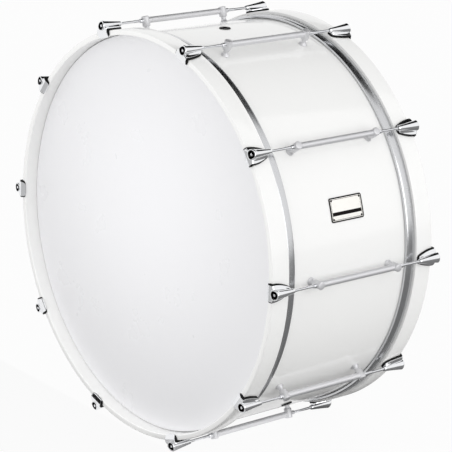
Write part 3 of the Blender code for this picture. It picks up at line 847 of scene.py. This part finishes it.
# %% Claw slabs
COLUMNS = 24
EDGE_TAIL, EDGE_CORNER, EDGE_HOOK = 1.3, 2.0, 2.5
HOOK_TAPER, LIP_CORNER, TAIL_CORNER = 2.8, 5.0, 6.0
RIM_RADIUS, TAIL_RADIUS = 10.7, 4.7
BORE_RADIUS, BORE_DEPTH, BUSH = 6.8, 10.0, 0.5
BORE_CLEAR, BORE_PAST = BORE_RADIUS + BUSH + 0.2, 1.5
FACE_AT, FADE_ROWS = HOOK_AT + 6, 3
WING_START, WING_LEVEL = 0.93, 0.26
HOLLOW_FACE, HOLLOW_MORE, HOLLOW_FROM, HOLLOW_OVER = 1.3, 0.9, 4.0, 9.0


def rounded(half, corner, distance):
    """Half width of a strip at some distance from an end whose corners are round."""
    gap = max(corner - distance, 0.0)
    return half - corner + sqrt(corner ** 2 - gap ** 2)


def half_at(index):
    """Half width of the liner at a row."""
    if index < CORNER_AT:
        share = max(0.0, (J_ROWS[index][0] - corner_centre[0]) / (TAIL_END - corner_centre[0]))
        half = TAIL_HALF + (claw_half - TAIL_HALF) * cos(pi / 2 * min(share, 1.0))
        return rounded(half, TAIL_CORNER, TAIL_END - J_ROWS[index][0] + 1.0)
    half = claw_half - HOOK_TAPER * max(0.0, (index - FACE_AT) / (LAST_ROW - FACE_AT))
    past = hypot(J_ROWS[-1][0] - J_ROWS[index][0], J_ROWS[-1][1] - J_ROWS[index][1])
    return rounded(half, LIP_CORNER, past)


def edge_at(index):
    """How far the liner sticks out beside the casting at a row."""
    if index < CORNER_AT:
        return EDGE_TAIL + (EDGE_CORNER - EDGE_TAIL) * index / CORNER_AT
    return EDGE_CORNER + (EDGE_HOOK - EDGE_CORNER) * min(1.0, (index - CORNER_AT) / len(corner_rows))


def barrel_radius(along):
    """The barrel's radius at some distance behind its rim."""
    return RIM_RADIUS + (TAIL_RADIUS - RIM_RADIUS) * along / barrel_length


def wing_rise(x, along, half):
    """How far the casting stands over its wings, from nothing at the rim to the barrel's flank."""
    barrel = barrel_radius(along)
    share = min(max((half - abs(x)) / max(half - WING_START * barrel, 0.1), 0.0), 1.0)
    hollow = HOLLOW_FACE + HOLLOW_MORE * min(max((along - HOLLOW_FROM) / HOLLOW_OVER, 0.0), 1.0)
    return (-WING_LEVEL * barrel - WING_TOP) * share ** hollow


def claw_slab(is_casting):
    """A closed slab along the J: the casting, or the wider liner under it."""
    shape = bmesh.new()
    for outer in (True, False):
        grid = bmesh.ops.create_grid(shape, x_segments=COLUMNS, y_segments=LAST_ROW, size=1.0)
        for vert in grid["verts"]:
            index = round((vert.co.y + 1) / 2 * LAST_ROW)
            half = half_at(index)
            x = vert.co.x * (half - edge_at(index) if is_casting else half)
            top, bottom = (0.0, CASTING) if is_casting else (CASTING + SKIN_GAP, 0.0)
            along, height = skin_under(J_ROWS[index], top if outer else bottom)
            if outer and is_casting:
                fade = 1.0 if index < HOOK_AT else max(0.0, 1.0 - (index - HOOK_AT) / FADE_ROWS)
                height += fade * wing_rise(x, along, half)
                if along < BORE_DEPTH + BORE_PAST and abs(x) < BORE_CLEAR:
                    height = min(height, -sqrt(BORE_CLEAR ** 2 - x ** 2))
            elif not outer and not is_casting:
                along, height = notch_point(index)
            if is_casting and index == 0:
                along -= EDGE_TAIL
            vert.co = (x, along, height)
    bmesh.ops.bridge_loops(shape, edges=[edge for edge in shape.edges if edge.is_boundary])
    return shape


for trial in (claw_slab(True), claw_slab(False)):
    open_edges = sum(not edge.is_manifold for edge in trial.edges)
    print("slab faces:", len(trial.faces), "open edges:", open_edges)
    trial.free()

# %% [markdown]
# The barrel is turned, with a real counterbore for the rod's square head. Its mouth is then cut away
# towards the outside, so that a drum key finds it. A moulded black nylon bush lines the counterbore and
# turns out over its rim. Its black is partly real nylon and partly painted shade, for the shade deep in
# the counterbore.

# %% Claws
BUSH_RIM, BUSH_LIP = 8.2, 0.6
MOUTH_SLOPE, MOUTH_REACH = tan(radians(17)), 24.0


def claw_barrel():
    """The tapered barrel, from a rounded rim at the face to the tail, with the counterbore."""
    rim, hole = RIM_RADIUS, 1000 * ROD_HOLE
    outline = [(rim - 0.9, 0.0), (rim - 0.3, 0.25), (rim, 0.9), (rim - 0.05, 2.2)]
    outline += [(barrel_radius(barrel_length * share), barrel_length * share)
                for share in (0.1, 0.2, 0.3, 0.4, 0.5, 0.7, 0.9, 0.97)]
    outline += [(TAIL_RADIUS - 0.5, barrel_length - 0.15), (hole + 0.5, barrel_length),
                (hole, barrel_length - 0.4), (hole, BORE_DEPTH + BUSH),
                (BORE_RADIUS + BUSH, BORE_DEPTH + BUSH), (BORE_RADIUS + BUSH, BUSH_LIP),
                (BUSH_RIM, BUSH_LIP), (BUSH_RIM, 0.3), (BUSH_RIM + 0.3, 0.0)]
    return lathe(outline, 72)


def claw_bush():
    """The black lining of the counterbore, with its lip. Its black is partly painted shade for the deep
    bore.
    """
    wall, floor, hole = BORE_RADIUS + BUSH - 0.05, BORE_DEPTH + BUSH - 0.05, 1000 * ROD_HOLE
    return lathe([(BUSH_RIM - 0.05, 0.35), (BUSH_RIM - 0.35, 0.05), (BORE_RADIUS + 0.3, 0.05),
                  (BORE_RADIUS, 0.4), (BORE_RADIUS, BORE_DEPTH), (hole, BORE_DEPTH), (hole, floor),
                  (wall, floor), (wall, BUSH_LIP - 0.05), (BUSH_RIM - 0.05, BUSH_LIP - 0.05)], 56)


def slope_mouth(shape):
    """Leans the outer half of a turned part's mouth back, less and less with depth."""
    for vert in shape.verts:
        fade = max(0.0, 1.0 - vert.co.y / MOUTH_REACH)
        vert.co.y += MOUTH_SLOPE * max(vert.co.z, 0.0) * fade
    return shape


def soften(shape, offset, sharper_than=50, segments=2):
    """Rounds every edge that is sharper than an angle."""
    bmesh.ops.recalc_face_normals(shape, faces=shape.faces)
    keen = [edge for edge in shape.edges
            if edge.is_manifold and edge.calc_face_angle(0.0) > radians(sharper_than)]
    ease(shape, keen, offset, segments)


CASTING_EASE, LINER_EASE = 0.5, 0.35
to_metres = Matrix.Scale(0.001, 4)
for end in ("front", "rear"):
    body = f"{end}_hoop_set"
    for number in range(1, LUG_COUNT + 1):
        place = end_station(end, number, rod_circle, claw_face) @ to_metres
        casting, liner = claw_slab(True), claw_slab(False)
        soften(casting, CASTING_EASE, segments=3)
        soften(liner, LINER_EASE)
        barrel, bush = slope_mouth(claw_barrel()), slope_mouth(claw_bush())
        # The black bush is partly painted shade: it darkens the counterbore where shade falls deep in
        # the bore.
        for part, shape, finish in (("casting", casting, chrome), ("barrel", barrel, chrome),
                                    ("bush", bush, nylon), ("liner", liner, rubber)):
            finish_piece(f"claw_{part}_{end}_{number:02d}", shape, finish, place, body,
                         replaces=[f"claw_{end}_{number:02d}"], crease=45)
print("casting and barrel faces:", made["claw_casting_front_01"], made["claw_barrel_front_01"])

# %% [markdown]
# ## Tension rods
# A rod is a steel pin with a square key head, a collar, and a thread rolled on its last part, so the
# shank is thinner than the thread. The thread is a real helix: its profile is spun with dvec, which
# moves it along by one pitch in every turn, and each turn's end then meets the next one's start.

# %% Rods
SHANK_RADIUS, THREAD_RADIUS = 0.00268, 0.0030
THREAD_PITCH, THREAD_DEPTH = 0.0010, 0.00045
THREAD_LENGTH, THREAD_STEPS = 0.0370, 20
HEAD_SQUARE, HEAD_HEIGHT = 0.0052, 0.0062
COLLAR_RADIUS, COLLAR_HEIGHT = 0.0056, 0.0022
face_to_head = claw_face - rod_front
rod_tip = face_to_head + (rod_front - rod_end)
collar_front = face_to_head + HEAD_HEIGHT + 0.0001
WASHER_RADIUS, WASHER_HOLE, WASHER_THICK = 0.0064, 0.00365, 0.0009
washer_front = collar_front - WASHER_THICK


def rod_thread(start, end):
    """A helix between two heights on the rod, cut square at both ends and closed."""
    turns = round((end - start) / THREAD_PITCH) + 2
    low = start - THREAD_PITCH
    shape = bmesh.new()
    root = THREAD_RADIUS - THREAD_DEPTH
    spots = [(root, 0.0), (THREAD_RADIUS, 0.42), (THREAD_RADIUS, 0.58), (root, 1.0)]
    corners = [shape.verts.new((radius, low + share * THREAD_PITCH, 0)) for radius, share in spots]
    edges = [shape.edges.new(pair) for pair in zip(corners, corners[1:])]
    bmesh.ops.spin(shape, geom=corners + edges, cent=(0, 0, 0), axis=(0, 1, 0), angle=2 * pi * turns,
                   dvec=(0, THREAD_PITCH / THREAD_STEPS, 0), steps=THREAD_STEPS * turns)
    bmesh.ops.remove_doubles(shape, verts=shape.verts, dist=1e-6)
    for height, outward in ((start, -1), (end, 1)):
        bmesh.ops.bisect_plane(shape, geom=shape.verts[:] + shape.edges[:] + shape.faces[:],
                               plane_co=(0, height, 0), plane_no=(0, outward, 0), clear_outer=True,
                               dist=1e-7)
    bmesh.ops.holes_fill(shape, edges=[edge for edge in shape.edges if edge.is_boundary], sides=0)
    return shape


def rod_pin():
    """Collar and shank, turned in one."""
    front, seat = collar_front, collar_front + COLLAR_HEIGHT
    thread_start = rod_tip - THREAD_LENGTH
    return lathe([(0, front - 0.0002), (COLLAR_RADIUS - 0.0006, front),
                  (COLLAR_RADIUS, front + 0.0006), (COLLAR_RADIUS, seat - 0.0002),
                  (COLLAR_RADIUS - 0.0002, seat), (SHANK_RADIUS + 0.0003, seat),
                  (SHANK_RADIUS, seat + 0.0004), (SHANK_RADIUS, thread_start + 0.0002),
                  (0, thread_start + 0.0006)], 40, closed=False)


def key_head():
    """The square end for the drum key, with a rounded crown."""
    shape = bmesh.new()
    bmesh.ops.create_cube(shape, size=1.0)
    bmesh.ops.scale(shape, vec=(HEAD_SQUARE, HEAD_HEIGHT + 0.0004, HEAD_SQUARE), verts=shape.verts)
    bmesh.ops.translate(shape, verts=shape.verts, vec=(0, face_to_head + HEAD_HEIGHT / 2 + 0.0002, 0))
    front = [edge for edge in shape.edges if all(v.co.y < face_to_head + 0.001 for v in edge.verts)]
    ease(shape, front, 0.0009, 3)
    sides = [edge for edge in shape.edges if abs(edge.verts[0].co.y - edge.verts[1].co.y) > 0.002]
    ease(shape, sides, 0.0005, 2)
    return shape


def retaining_washer():
    """The nylon ring that keeps the rod in its claw, lying on the collar. Its black is partly painted
    shade: it hides the bright collar deep in the counterbore.
    """
    shape = tube(WASHER_RADIUS, WASHER_HOLE, washer_front, collar_front, 48)
    ease(shape, rings_at(shape, [(WASHER_RADIUS, washer_front)]), 0.0003, 2)
    return shape


for end in ("front", "rear"):
    for number in range(1, LUG_COUNT + 1):
        place = end_station(end, number, rod_circle, claw_face)
        thread = rod_thread(rod_tip - THREAD_LENGTH, rod_tip)
        # The black washer is partly painted shade, darkening the deep counterbore over the bright
        # collar.
        for part, shape, finish in (("pin", rod_pin(), steel), ("key_head", key_head(), steel),
                                    ("thread", thread, steel), ("washer", retaining_washer(), nylon)):
            finish_piece(f"rod_{part}_{end}_{number:02d}", shape, finish, place,
                         f"rod_{end}_{number:02d}",
                         replaces=[f"tension_rod_{end}_{number:02d}"])
print("thread faces:", made["rod_thread_front_01"])

# %% [markdown]
# ## Counting up
# The finished drum has to fill the same box as the frame. The last call prints how many pieces were
# made and how many faces they have.

# %% Pieces and faces
print("pieces:", len(made), "faces:", sum(made.values()))
